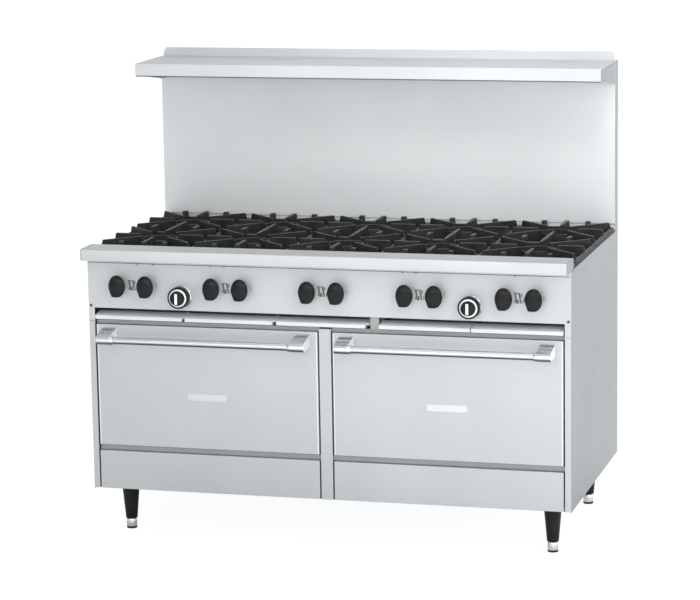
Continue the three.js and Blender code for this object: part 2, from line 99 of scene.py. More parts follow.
def spread(tree, value, low, high, start=0.35, end=0.65):
    """Maps a noise value onto a range of numbers."""
    ramp = tree.nodes.new("ShaderNodeMapRange")
    ramp.inputs["From Min"].default_value = start
    ramp.inputs["From Max"].default_value = end
    ramp.inputs["To Min"].default_value = low
    ramp.inputs["To Max"].default_value = high
    tree.links.new(value, ramp.inputs["Value"])
    return ramp.outputs["Result"]


def tint(tree, value, dark, light):
    """Mixes two colours by a value."""
    mix = tree.nodes.new("ShaderNodeMix")
    mix.data_type = "RGBA"
    mix.inputs["A"].default_value = (*dark, 1)
    mix.inputs["B"].default_value = (*light, 1)
    tree.links.new(value, mix.inputs["Factor"])
    return mix.outputs["Result"]


def bump(tree, shader, height, strength, distance):
    """Adds a bump to a shader, on top of any that it has."""
    node = tree.nodes.new("ShaderNodeBump")
    node.inputs["Strength"].default_value = strength
    node.inputs["Distance"].default_value = distance
    tree.links.new(height, node.inputs["Height"])
    before = shader.inputs["Normal"].links
    if before:
        tree.links.new(before[0].from_socket, node.inputs["Normal"])
    tree.links.new(node.outputs["Normal"], shader.inputs["Normal"])


def brushed_steel(name, light, grain, rough=0.45, metal=0.66):
    """Stainless sheet: long fine scratches along the grain, and a faint mottle of wiped-on film."""
    dark = tuple(c * 0.95 for c in light)
    material, tree, shader = nodes_of(name, light)
    shader.inputs["Metallic"].default_value = metal
    fine = noise(tree, 60, grain, 4.0)
    cloud = noise(tree, 3.2, (1, 1, 1), 5.0, 4.0)
    tree.links.new(tint(tree, spread(tree, cloud, 0, 1), dark, light), shader.inputs["Base Color"])
    tree.links.new(spread(tree, fine, rough - 0.035, rough + 0.04), shader.inputs["Roughness"])
    bump(tree, shader, fine, 0.05, 0.0002)
    bump(tree, shader, cloud, 0.03, 0.0015)
    return material


def facing_up(tree, start, end):
    """From 0 to 1 as a surface turns up, between two heights of its normal."""
    normal = tree.nodes.new("ShaderNodeTexCoord").outputs["Normal"]
    apart = tree.nodes.new("ShaderNodeSeparateXYZ")
    tree.links.new(normal, apart.inputs["Vector"])
    return spread(tree, apart.outputs["Z"], 0, 1, start, end)


def shade_lower_side(tree, color, underside_shade):
    """Painted shade: the colour of a polished part turns darker on its lower side, where it faces
    down.
    """
    return tint(tree, facing_up(tree, -0.45, -0.12), underside_shade, color)


def chrome(name, color, rough, underside_shade=None):
    """Polished or plated metal with faint smears, and painted shade on its underside when a darker
    colour is given for it.
    """
    material, tree, shader = nodes_of(name, color)
    shader.inputs["Metallic"].default_value = 1.0
    if underside_shade:
        tree.links.new(shade_lower_side(tree, color, underside_shade), shader.inputs["Base Color"])
    smear = noise(tree, 12, (1, 1, 1), 3.0)
    tree.links.new(spread(tree, smear, rough * 0.85, rough * 1.25), shader.inputs["Roughness"])
    bump(tree, shader, smear, 0.015, 0.0004)
    return material


def cast_iron(name, top_light_grey):
    """Sand-cast iron: a pitted dark skin, scorched in patches, and painted lighter grey on faces
    that turn up, as if lit from above.
    """
    material, tree, shader = nodes_of(name, (0.03, 0.03, 0.03))
    grit = noise(tree, 420, (1, 1, 1), 6.0)
    lumps = noise(tree, 55, (1, 1, 1), 4.0, 2.0)
    patch = noise(tree, 14, (1, 1, 1), 3.0, 7.0)
    skin = tint(tree, spread(tree, patch, 0, 1), (0.014, 0.0135, 0.0135), (0.038, 0.036, 0.035))
    # Painted light: faces that turn up are mixed towards a lighter grey, as light from above would
    # make them.
    top = tree.nodes.new("ShaderNodeMix")
    top.data_type = "RGBA"
    top.inputs["B"].default_value = (*top_light_grey, 1)
    tree.links.new(facing_up(tree, 0.3, 0.8), top.inputs["Factor"])
    tree.links.new(skin, top.inputs["A"])
    tree.links.new(top.outputs["Result"], shader.inputs["Base Color"])
    tree.links.new(spread(tree, lumps, 0.5, 0.7), shader.inputs["Roughness"])
    shader.inputs["Specular IOR Level"].default_value = 0.25
    bump(tree, shader, lumps, 0.35, 0.0012)
    bump(tree, shader, grit, 0.35, 0.0004)
    return material


def moulded(name, color, rough, grain=0.12, gloss=0.4):
    """Moulded plastic or paint with a fine orange-peel skin."""
    material, tree, shader = nodes_of(name, color)
    peel = noise(tree, 900, (1, 1, 1), 2.0)
    scuff = noise(tree, 22, (1, 1, 1), 4.0, 3.0)
    pale = tuple(c * 1.35 + 0.002 for c in color)
    tree.links.new(tint(tree, spread(tree, scuff, 0, 1), color, pale), shader.inputs["Base Color"])
    tree.links.new(spread(tree, scuff, rough - 0.06, rough + 0.08), shader.inputs["Roughness"])
    shader.inputs["Specular IOR Level"].default_value = gloss
    bump(tree, shader, peel, grain, 0.0002)
    return material


def enamel(name, dark, light, rough):
    """Vitreous enamel: glossy, with fine pale specks and a slight waviness."""
    material, tree, shader = nodes_of(name, dark)
    specks = noise(tree, 700, (1, 1, 1), 2.0)
    waves = noise(tree, 9, (1, 1, 1), 2.0, 5.0)
    fleck = spread(tree, specks, 0, 1, 0.62, 0.70)
    tree.links.new(tint(tree, fleck, dark, light), shader.inputs["Base Color"])
    tree.links.new(spread(tree, waves, rough - 0.04, rough + 0.08), shader.inputs["Roughness"])
    shader.inputs["Specular IOR Level"].default_value = 0.35
    bump(tree, shader, waves, 0.1, 0.003)
    return material


ALONG_X = (0.06, 6, 6)
ALONG_Y = (6, 0.06, 6)
ALONG_Z = (6, 6, 0.06)
FRONT_STEEL = brushed_steel("front_steel", (0.585, 0.605, 0.61), ALONG_X)
# Painted light: the front's stainless, coloured a little brighter for the front rail, its seam
# flange and the shelf lip, where they catch more light.
LIT_EDGE_STEEL = brushed_steel("lit_edge_steel", (0.635, 0.655, 0.66), ALONG_X)
# Painted shade: the front's stainless, coloured about half as bright for the sides, the rail's and
# backguard's ends and the gussets, which face away from the light.
SHADED_FLANK_STEEL = brushed_steel("shaded_flank_steel", (0.295, 0.31, 0.315), ALONG_Y, 0.46)
# Painted light: the backguard's stainless, coloured brighter and made less metallic to lift its
# foot out of the shade of the grates.
LIT_RISER_STEEL = brushed_steel("lit_riser_steel", (0.73, 0.75, 0.755), ALONG_Z, 0.42, 0.3)
SHELF_STEEL = brushed_steel("shelf_steel", (0.59, 0.61, 0.615), ALONG_X, 0.40, 0.5)
PANEL_STEEL = brushed_steel("panel_steel", (0.595, 0.615, 0.62), ALONG_X, 0.5, 0.3)
# Painted shade: the front's stainless, coloured darker for the rails recessed above and below the
# doors.
RECESS_SHADED_STEEL = brushed_steel("recess_shaded_steel", (0.36, 0.365, 0.37), ALONG_X, 0.5, 0.4)
# Painted highlight: a pale, barely metallic steel for edges that catch light: the doors' rolled
# edges, the handle brackets' flat ends and the tray guides.
PALE_HIGHLIGHT_METAL = brushed_steel("pale_highlight_metal", (0.90, 0.91, 0.91), ALONG_Y, 0.5, 0.1)
TRAY_STEEL = brushed_steel("tray_steel", (0.80, 0.82, 0.825), ALONG_X, 0.5, 0.2)
PAN_STEEL = brushed_steel("pan_steel", (0.085, 0.085, 0.087), ALONG_Y, 0.5, 0.3)
PLAIN_STEEL = brushed_steel("plain_steel", (0.38, 0.39, 0.39), ALONG_X, 0.48, 0.5)
# The second colours of the bar and the brackets are painted shade on their undersides.
BAR_STEEL = chrome("bar_steel", (0.76, 0.77, 0.78), 0.36, (0.16, 0.165, 0.17))
CHROME = chrome("handle_chrome", (0.84, 0.85, 0.86), 0.24, (0.20, 0.205, 0.21))
# Painted shade: the screw heads are coloured dark for the shade in their sockets.
SOCKET_SHADE_METAL = chrome("socket_shade_metal", (0.14, 0.145, 0.15), 0.35)
PLATED_WIRE = chrome("plated_wire", (0.62, 0.63, 0.65), 0.22)
# The second colour is painted light on the castings' upward faces.
IRON = cast_iron("cast_iron", (0.10, 0.098, 0.098))
BURNER_IRON = cast_iron("burner_iron", (0.035, 0.034, 0.034))
PLASTIC = moulded("black_plastic", (0.007, 0.0075, 0.008), 0.3, gloss=0.24)
RUBBER = moulded("black_rubber", (0.015, 0.015, 0.016), 0.65, 0.3)
POINTER = moulded("pointer_white", (0.82, 0.83, 0.83), 0.45)
MARKING = moulded("marking_grey", (0.11, 0.115, 0.115), 0.6)
BLACK_ENAMEL = enamel("black_enamel", (0.012, 0.012, 0.013), (0.06, 0.06, 0.062), 0.55)
OVEN_ENAMEL = enamel("oven_enamel", (0.045, 0.048, 0.055), (0.35, 0.37, 0.40), 0.28)
SHADOW_GAP = moulded("shadow_gap", (0.10, 0.105, 0.11), 0.7)
GASKET = moulded("gasket_braid", (0.06, 0.06, 0.06), 0.85, 0.6)
DIAL_CHROME = chrome("dial_chrome", (0.80, 0.81, 0.81), 0.3)
BADGE = chrome("badge_plate", (0.74, 0.75, 0.75), 0.34)


# ---- Building meshes ----


class Shape:
    """A mesh under construction, in millimetres."""

    def __init__(self):
        self.mesh = bmesh.new()

    def skin(self, rings):
        """Joins equal rings of points, one after another, into one closed skin."""
        rows = [[self.mesh.verts.new(Vector(p) * MM) for p in ring] for ring in rings]
        for low, high in zip(rows, rows[1:]):
            for i, corner in enumerate(low):
                j = (i + 1) % len(low)
                self.mesh.faces.new((corner, low[j], high[j], high[i]))
        self.mesh.faces.new(rows[0][::-1])
        self.mesh.faces.new(rows[-1])
        return self

    def box(self, x0, x1, y0, y1, z0, z1):
        ring = [(x0, y0), (x1, y0), (x1, y1), (x0, y1)]
        return self.skin([[(x, y, z) for x, y in ring] for z in (z0, z1)])

    def prism_x(self, outline, x0, x1):
        """An outline in (y, z), run along X."""
        return self.skin([[(x, y, z) for y, z in outline] for x in (x0, x1)])

    def prism_y(self, outline, y0, y1):
        """An outline in (x, z), run along Y."""
        return self.skin([[(x, y, z) for x, z in outline] for y in (y0, y1)])

    def prism_z(self, outline, z0, z1):
        """An outline in (x, y), run along Z."""
        return self.skin([[(x, y, z) for x, y in outline] for z in (z0, z1)])

    def turned(self, profile, centre=(0, 0, 0), axis="z", sides=48):
        """A solid of revolution from (radius, distance) pairs along an axis. It is closed."""
        cx, cy, cz = centre
        rings = []
        for radius, along in profile:
            ring = []
            for i in range(sides):
                a = 2 * math.pi * i / sides
                u = max(radius, 0.01) * math.cos(a)
                v = max(radius, 0.01) * math.sin(a)
                spots = {
                    "x": (cx + along, cy + u, cz + v),
                    "y": (cx + u, cy + along, cz + v),
                    "z": (cx + u, cy + v, cz + along),
                }
                ring.append(spots[axis])
            rings.append(ring)
        return self.skin(rings)

    def ring(self, profile, centre=(0, 0, 0), axis="z", sides=48):
        """A hoop of revolution: the profile closes on itself and never reaches the axis."""
        before = set(self.mesh.faces)
        self.turned([*profile, profile[0]], centre, axis, sides)
        caps = [f for f in self.mesh.faces if f not in before and len(f.verts) == sides]
        bmesh.ops.delete(self.mesh, geom=caps, context="FACES_ONLY")
        return self

    def rod(self, points, radius, sides=12):
        """A round rod through points."""
        path = [Vector(p) for p in points]
        angles = [2 * math.pi * k / sides for k in range(sides)]
        rings = []
        side = None
        for i, spot in enumerate(path):
            ahead = path[min(i + 1, len(path) - 1)] - path[max(i - 1, 0)]
            ahead.normalize()
            side = ahead.orthogonal() if side is None else side - ahead * side.dot(ahead)
            side.normalize()
            other = ahead.cross(side)
            rings.append([
                spot + radius * (side * math.cos(a) + other * math.sin(a)) for a in angles
            ])
        return self.skin(rings)

    def holed_sheet(self, outer, holes, y0, y1):
        """A sheet across Y with rectangular holes, as strips between the holes' edges."""
        x0, x1, z0, z1 = outer
        xs = sorted({x0, x1, *(v for h in holes for v in h[:2])})
        zs = sorted({z0, z1, *(v for h in holes for v in h[2:])})
        keep = {}
        for i in range(len(xs) - 1):
            for k in range(len(zs) - 1):
                mx = (xs[i] + xs[i + 1]) / 2
                mz = (zs[k] + zs[k + 1]) / 2
                keep[i, k] = not any(h[0] < mx < h[1] and h[2] < mz < h[3] for h in holes)
        corner = {}
        for i, x in enumerate(xs):
            for k, z in enumerate(zs):
                near = [keep.get((a, b)) for a in (i - 1, i) for b in (k - 1, k)]
                if any(near):
                    for y in (y0, y1):
                        corner[i, k, y] = self.mesh.verts.new(Vector((x, y, z)) * MM)
        for (i, k), solid in keep.items():
            if not solid:
                continue
            square = [(i, k), (i + 1, k), (i + 1, k + 1), (i, k + 1)]
            for y in (y0, y1):
                self.mesh.faces.new([corner[a, b, y] for a, b in square])
            around = [(i, k - 1), (i + 1, k), (i, k + 1), (i - 1, k)]
            for (a, b), next_cell in zip(zip(square, square[1:] + square[:1]), around):
                if not keep.get(next_cell):
                    self.mesh.faces.new(
                        [corner[*a, y0], corner[*b, y0], corner[*b, y1], corner[*a, y1]]
                    )
        return self


def make(name, shape, material, bevel=0.0, segments=2, smooth=38):
    """Turns a shape into an object placed on the range's front plane."""
    bmesh.ops.recalc_face_normals(shape.mesh, faces=shape.mesh.faces)
    mesh = bpy.data.meshes.new(name)
    shape.mesh.to_mesh(mesh)
    shape.mesh.free()
    mesh.materials.append(material)
    mesh.polygons.foreach_set("use_smooth", [True] * len(mesh.polygons))
    mesh.set_sharp_from_angle(angle=math.radians(smooth))
    piece = bpy.data.objects.new(name, mesh)
    bpy.context.collection.objects.link(piece)
    piece.location = (0, FRONT, 0)
    if bevel:
        edges = piece.modifiers.new("rounded_edges", "BEVEL")
        edges.width = bevel * MM
        edges.segments = segments
        edges.limit_method = "ANGLE"
        edges.angle_limit = math.radians(40)
        edges.harden_normals = True
    return piece


def copy_to(piece, name, x=0, y=0, z=0):
    """A copy of a piece that shares its mesh, moved by a step in millimetres."""
    twin = piece.copy()
    twin.name = name
    bpy.context.collection.objects.link(twin)
    twin.location = piece.location + Vector((x, y, z)) * MM
    return twin


def show(piece, body, slot, *nodes):
    """Rides a piece on a body and lets it stand for CAD nodes; the slot is not used."""
    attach(piece, body)
    if nodes:
        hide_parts(*nodes)


def arc(cx, cy, radius, start, end, steps=6):
    """Points on an arc, with its angles in degrees."""
    angles = [math.radians(start + (end - start) * i / steps) for i in range(steps + 1)]
    return [(cx + radius * math.cos(a), cy + radius * math.sin(a)) for a in angles]


def rounded(x0, x1, z0, z1, radius, steps=5):
    """A rectangle with round corners."""
    return [
        *arc(x1 - radius, z1 - radius, radius, 0, 90, steps),
        *arc(x0 + radius, z1 - radius, radius, 90, 180, steps),
        *arc(x0 + radius, z0 + radius, radius, 180, 270, steps),
        *arc(x1 - radius, z0 + radius, radius, 270, 360, steps),
    ]


def screws(name, spots, facing, body, radius=4.2):
    """Pan-head screws with a round recess, facing -Y, +Y or +X."""
    heads = Shape()
    for x, y, z in spots:
        axis = facing[1].lower()
        out = -1 if facing[0] == "-" else 1
        profile = [
            (0, 0.6 * out),
            (radius * 0.36, 0.6 * out),
            (radius * 0.45, 1.9 * out),
            (radius * 0.80, 1.6 * out),
            (radius, 0.5 * out),
            (radius, -0.6 * out),
            (0, -0.6 * out),
        ]
        heads.turned(profile, (x, y, z), axis, 18)
    show(make(name, heads, SOCKET_SHADE_METAL, smooth=30), body, "chrome")


# ---- The body ----


def side_panels():
    """Each side panel is a flat sheet that folds round into a front stile."""
    behind_ear = SHEET + 0.3
    outline = [
        (0, 152), (REAR, 152), (REAR, BODY_TOP), (RAIL_REAR + 0.3, BODY_TOP),
        (RAIL_REAR + 0.3, RAIL_BOTTOM - 0.3), (behind_ear, RAIL_BOTTOM - 0.3),
        (behind_ear, EAR_BOTTOM), (0, EAR_BOTTOM),
    ]
    for side, sign in SIDES.items():
        sheet = Shape()
        sheet.prism_x(outline, sign * (HALF - SHEET), sign * HALF)
        sheet.box(*sorted((sign * EAR_INNER, sign * (HALF - 1))), 0, SHEET, 154, EAR_BOTTOM)
        sheet.box(*sorted((sign * EAR_INNER, sign * (EAR_INNER + SHEET))), 1, 16, 155, 680)
        piece = make(f"side_panel_{side}", sheet, SHADED_FLANK_STEEL, 0.9)
        show(piece, "root", "stainless", f"{side}_side_panel")
        stile = Shape().box(*sorted((sign * 731.4, sign * 749.6)), -0.35, 0.6, 154.4, 680.6)
        face = make(f"end_stile_{side}", stile, FRONT_STEEL, 0.3)
        show(face, "root", "stainless")


def front_frame():
    """The face plate behind the doors, the centre stile, and the rails above and below them."""
    back = FACE_PLATE + SHEET
    outer = EAR_INNER - SHEET
    frame_sheet = Shape()
    ovens = [
        (sign * BAY - OVEN_HALF, sign * BAY + OVEN_HALF, OVEN_BOTTOM, OVEN_TOP)
        for sign in SIDES.values()
    ]
    frame_sheet.holed_sheet((-747, 747, 155, 683), ovens, FACE_PLATE, back)
    frame_sheet.box(-outer, -STILE - 0.1, 4, back - 1, 154.2, 156)
    frame_sheet.box(STILE + 0.1, outer, 4, back - 1, 154.2, 156)
    piece = make("face_plate", frame_sheet, PLAIN_STEEL, 0.5)
    show(piece, "root", "plain_steel", "front_frame")

    stile = Shape()
    stile.box(-STILE, STILE, 0, SHEET, 154, EAR_BOTTOM)
    for x in (-STILE, STILE - SHEET):
        stile.box(x, x + SHEET, 1, FACE_PLATE, 154, EAR_BOTTOM)
    show(make("centre_stile", stile, FRONT_STEEL, 0.8), "root", "stainless")

    rails = Shape()
    for sign in SIDES.values():
        x0, x1 = sorted((sign * (STILE + 0.2), sign * outer))
        rails.box(x0, x1, 12, 14, 274.6, 290)
        rails.box(x0, x1, 13, FACE_PLATE, 288.2, 290)
        rails.box(x0, x1, 13, FACE_PLATE, DOOR_TOP + 0.5, 683.6)
    show(make("recessed_rails", rails, RECESS_SHADED_STEEL, 0.5), "root", "plain_steel")

    divider = Shape()
    left, right, top = 140.6, 167.4, 721.4
    divider.box(left, right, 6, 8, 683, top)
    divider.box(left, right, 7, 30, top - 1.8, top)
    divider.box(left, left + 1.6, 7, 34, 684, 720.5)
    show(make("tray_divider", divider, PLAIN_STEEL, 0.5), "root", "plain_steel")
    # The guides are coloured pale as a painted highlight.
    guides = Shape()
    for x0, x1 in ((-451.6, -442.4), (-163.6, -152.4), (126.6, 139.4)):
        guides.prism_x([(0.5, 698), (0.5, 699.5), (50, 707.5), (50, 698)], x0, x1)
    show(make("tray_guides", guides, PALE_HIGHLIGHT_METAL, 0.3), "root", "stainless")


def valve_panel():
    """The knob panel with its ears, hems, the folded seam along its top and its screws."""
    low, bottom, top = EAR_BOTTOM + 0.3, 722, RAIL_BOTTOM - 0.3
    panel = Shape()
    outline = [
        (-HALF, low), (-EAR_INNER, low), (-EAR_INNER, bottom), (EAR_INNER, bottom),
        (EAR_INNER, low), (HALF, low), (HALF, top), (-HALF, top),
    ]
    panel.prism_y(outline, 0, SHEET)
    panel.box(-730, 730, 1, 14, bottom, bottom + SHEET)
    panel.box(-747, 747, 1, 12, top - SHEET, top - 0.1)
    piece = make("valve_panel_sheet", panel, PANEL_STEEL, 0.8)
    show(piece, "root", "stainless", "valve_panel")

    seam = Shape()
    fold = [(-1.8, 864.6), (-1.0, 863.6), (0.2, 863.6), (0.2, 875.6), (-1.8, 875.6)]
    seam.prism_x(fold, -749, 749)
    show(make("rail_flange", seam, LIT_EDGE_STEEL, 0.4), "root", "stainless")
    line = Shape().box(-748.5, 748.5, -0.3, 0.2, 861.6, 863.4)
    show(make("rail_seam", line, SHADOW_GAP), "root", "black_enamel")
    screws("panel_screws", [(-742, 0, 729), (742, 0, 729)], "-Y", "root", 4.6)
    spots = [(x, -0.6, 861.5) for x in (-590, -538, -356, -312, 243, 284, 584)]
    screws("seam_screws", spots, "-Y", "root", 2.6)


def front_rail():
    """The rounded front rail, a folded channel with closed ends."""
    front, top, nose, heel, mouth = -58, 912, 4, 3, 16

    def outline(inset):
        return [
            (RAIL_REAR - inset, top - inset),
            *arc(front + nose, top - nose, nose - inset, 90, 180),
            *arc(front + heel, RAIL_BOTTOM + heel, heel - inset, 180, 270, 4),
        ]

    channel = Shape()
    outer = outline(0)
    inner = outline(SHEET)
    folded = [
        *outer, (mouth, RAIL_BOTTOM), (mouth, RAIL_BOTTOM + SHEET), *inner[::-1],
        (RAIL_REAR - SHEET, RAIL_BOTTOM + 4), (RAIL_REAR, RAIL_BOTTOM + 4),
    ]
    channel.prism_x(folded, -HALF + SHEET, HALF - SHEET)
    piece = make("rail", channel, LIT_EDGE_STEEL, 0.5, smooth=30)
    show(piece, "root", "stainless", "front_rail")
    caps = Shape()
    lifted = RAIL_BOTTOM + 2.2
    end = [*outer, (mouth, RAIL_BOTTOM), (mouth, lifted), (RAIL_REAR, lifted)]
    for sign in SIDES.values():
        caps.prism_x(end, *sorted((sign * (HALF - SHEET), sign * HALF)))
    show(make("rail_end_caps", caps, SHADED_FLANK_STEEL, 0.4, smooth=30), "root", "stainless")


def top_frame():
    """The black enamelled frame under the grates, with one well for each pair of burners."""
    edge, front, rear, bottom = 747.6, 42, 727.5, 862
    rim = Shape()
    for x in (-edge, *[s + 138 for s in SECTIONS[:-1]], 738):
        width = 9.6 if abs(x) > 700 else 24
        rim.box(x, x + width, front, rear + 0.1, bottom, 881.7)
    rim.box(-edge, edge, front, 62, bottom, 881.6)
    rim.box(-edge, edge, 715, rear, bottom, 881.6)
    rim.box(-edge, edge, front, 84.4, 881, 893)
    piece = make("top_frame_casting", rim, BLACK_ENAMEL, 1.2)
    show(piece, "root", "black_enamel", "top_frame")


def backguard():
    """The flue riser: a tall folded box, open at the top, with a ledge at its foot."""
    front, bottom, top = GUARD_FRONT, 879.4, 1418.6
    guard = Shape()
    guard.box(-HALF, HALF, front, front + SHEET, 904, top)
    guard.box(-HALF + 1, HALF - 1, front + 2.5, front + 4, 880, 906)
    guard.box(-748.5, 748.5, front + SHEET, REAR - 1, bottom, bottom + SHEET)
    piece = make("backguard_sheet", guard, LIT_RISER_STEEL, 0.9)
    show(piece, "root", "stainless", "backguard")
    rear = Shape().box(-HALF, HALF, REAR - SHEET, REAR, bottom, top)
    show(make("backguard_rear", rear, PLAIN_STEEL, 0.9), "root", "stainless")
    ends = Shape()
    for sign in SIDES.values():
        across = sorted((sign * (HALF - SHEET), sign * HALF))
        ends.box(*across, front + 1, REAR - 1, bottom, top - 0.1)
    show(make("backguard_ends", ends, SHADED_FLANK_STEEL, 0.5), "root", "stainless")
    ledge = Shape()
    ledge.prism_x([(728, 890), (728, 896), (743, 897.5), (743, 890)], -HALF, HALF)
    show(make("backguard_ledge", ledge, FRONT_STEEL, 0.8), "root", "stainless")
    lip = Shape().box(-748, 748, front - 0.5, front + 0.6, 903.2, 904.6)
    show(make("backguard_seam", lip, SHADOW_GAP), "root", "black_enamel")


def high_shelf():
    """The high shelf: top sheet, hemmed lip with a dark edge strip, gussets and upstand."""
    front, top, back = 485, 1421, 762
    rear = GUARD_FRONT - 0.3
    under = top - 1
    shelf = Shape()
    shelf.box(-HALF, HALF, front, back, top - SHEET, top)
    shelf.box(-748, 748, rear - SHEET, rear, 1388, under)
    piece = make("shelf_sheet", shelf, SHELF_STEEL, 0.9)
    show(piece, "root", "stainless", "high_shelf")
    lip = Shape().box(-HALF, HALF, front, front + SHEET, 1382.5, top - 0.4)
    show(make("shelf_lip", lip, LIT_EDGE_STEEL, 0.8), "root", "stainless")
    gussets = Shape()
    near, far = front + SHEET, rear - 0.1
    gusset = [(near, 1382), (far, 1348), (far, under), (near, under)]
    for sign in SIDES.values():
        gussets.prism_x(gusset, *sorted((sign * (HALF - SHEET), sign * (HALF - 0.05))))
        gussets.box(*sorted((sign * 735, sign * 749)), far - SHEET, far, 1350, under)
    show(make("shelf_gussets", gussets, SHADED_FLANK_STEEL, 0.5), "root", "stainless")
    upright = Shape()
    half, crest, corner = 747, 1448, 16
    outline = [
        (-half, top - 1.6), (half, top - 1.6),
        *arc(half - corner, crest - corner, corner, 0, 90),
        *arc(corner - half, crest - corner, corner, 90, 180),
    ]
    upright.prism_y(outline, back - SHEET, back - 0.1)
    show(make("shelf_upstand", upright, SHELF_STEEL, 0.6), "root", "stainless")
    edge = Shape()
    strip = [(485.6, 1379.5), (499, 1379.5), (499, 1382.4), (485.6, 1382.4)]
    edge.prism_x(strip, -749.6, 749.6)
    show(make("shelf_edge_strip", edge, SHADOW_GAP, 0.5), "root", "black_enamel")
    channels = Shape()
    for x in (-500, 0, 500):
        channel = [(x - 30, 1418.8), (x - 22, 1404), (x + 22, 1404), (x + 30, 1418.8)]
        channels.prism_y(channel, 492, 736)
    show(make("shelf_stiffeners", channels, SHELF_STEEL, 0.6), "root", "stainless")


def chassis():
    """Base pan, rear panel with pressed ribs and louvres, deck and the web between the ovens."""
    floor, deck, back = 154, 684, REAR - SHEET
    pan = Shape()
    pan.box(-747, 747, 38.4, back, floor, floor + SHEET)
    pan.box(-747, 747, 43, back, deck, deck + SHEET)
    pan.box(-8, 8, 43, back, floor + SHEET, deck)
    for sign in SIDES.values():
        for offset in (-275, 275):
            x = sign * BAY + offset
            pan.box(x - 10, x + 10, 60, 650, floor + SHEET, 302.6)
    piece = make("base_and_deck", pan, PLAIN_STEEL, 0.6)
    show(piece, "root", "plain_steel", "chassis")
    rear = Shape()
    flat = back + 1.2
    rear.holed_sheet((-747.6, 747.6, floor, BODY_TOP), [], back, flat)
    for x in (-500, 0, 500):
        rib = [(x - 22, flat), (x - 16, REAR), (x + 16, REAR), (x + 22, flat)]
        rear.prism_z(rib, 200, 830)
    for sign in SIDES.values():
        for row in range(7):
            z = 700 + row * 18
            x = sign * 250
            rear.prism_x([(flat - 0.1, z), (REAR, z + 2), (flat - 0.1, z + 9)], x - 90, x + 90)
    show(make("rear_panel", rear, PLAIN_STEEL, 0.3), "root", "plain_steel")
    spots = [(x, back, z) for x in (-735, -250, 250, 735) for z in (170, 520, 865)]
    screws("rear_screws", spots, "+Y", "root", 4)


# ---- The ovens ----


def kick_panel(side, x):
    """The cover under a door, folded back all round."""
    panel = Shape()
    panel.box(x - 352, x + 352, 0, 2, 154.3, 274)
    panel.box(x - 351.5, x + 351.5, 1, 24, 272, 273.9)
    for edge in (x - 352, x + 350):
        panel.box(edge, edge + 2, 1, 24, 156.5, 273.5)
    piece = make(f"kick_panel_sheet_{side}", panel, FRONT_STEEL, 0.9, 3)
    show(piece, "root", "stainless", f"kick_panel_{side}")


def door(side, x):
    """A drop door: a folded shell, its inner liner and gasket, a blank badge and the handle."""
    body = f"door_{side}"
    half, bottom, top, depth = 351.5, 293, DOOR_TOP, 30
    shell = Shape()
    shell.prism_y(rounded(x - half, x + half, bottom, top, 2.5, 3), 0, 3.6)
    for z in (bottom + 0.5, top - 2.5):
        shell.box(x - half + 0.5, x + half - 0.5, 1, depth, z, z + SHEET)
    for edge in (x - half + 0.1, x + half - 2.1):
        shell.box(edge, edge + SHEET, 1, depth, bottom + 1, top - 1)
    piece = make(f"door_shell_{side}", shell, FRONT_STEEL, 1.6, 3)
    show(piece, body, "stainless", f"door_panel_{side}")
    # Pale strips down the door's side edges: a painted highlight where the edges catch light.
    rolls = Shape()
    for sign in (-1, 1):
        bend = [(4.5, -0.25), (2.2, -0.2), (0.7, 0.7), (0, 2.4), (0, 4.5), (4.5, 4.5)]
        corner = [(x + sign * (half + 0.1 - u), v) for u, v in bend]
        rolls.prism_z(corner, bottom + 1.5, top - 1.5)
    show(make(f"door_edge_rolls_{side}", rolls, PALE_HIGHLIGHT_METAL, smooth=50), body, "stainless")

    liner = Shape()
    liner.prism_y(rounded(x - 345.5, x + 345.5, 299, 665, 12), depth + 0.3, depth + 2.3)
    liner.prism_y(rounded(x - 324, x + 324, 311, 635, 18), depth + 1, depth + 14)
    liner.prism_y(rounded(x - 300, x + 300, 335, 611, 26), depth + 13, depth + 16)
    inner = make(f"door_inner_{side}", liner, OVEN_ENAMEL, 2.0, 3)
    show(inner, body, "oven_enamel", f"door_liner_{side}")

    loop = [(u, depth + 3.6, v) for u, v in rounded(x - 336, x + 336, 305, 652, 20)]
    gasket = Shape().rod([*loop, loop[0]], 2.0, 10)
    show(make(f"door_gasket_{side}", gasket, GASKET), body, "black_plastic")

    badge = Shape()
    badge.prism_y(rounded(x - 62, x + 62, 443, 465, 8), -1.2, 0.2)
    badge.prism_y(rounded(x - 57, x + 57, 447.5, 460.5, 5), -2.0, -1.0)
    show(make(f"door_badge_{side}", badge, BADGE, 0.5), body, "chrome")
    handle(side, x, body)


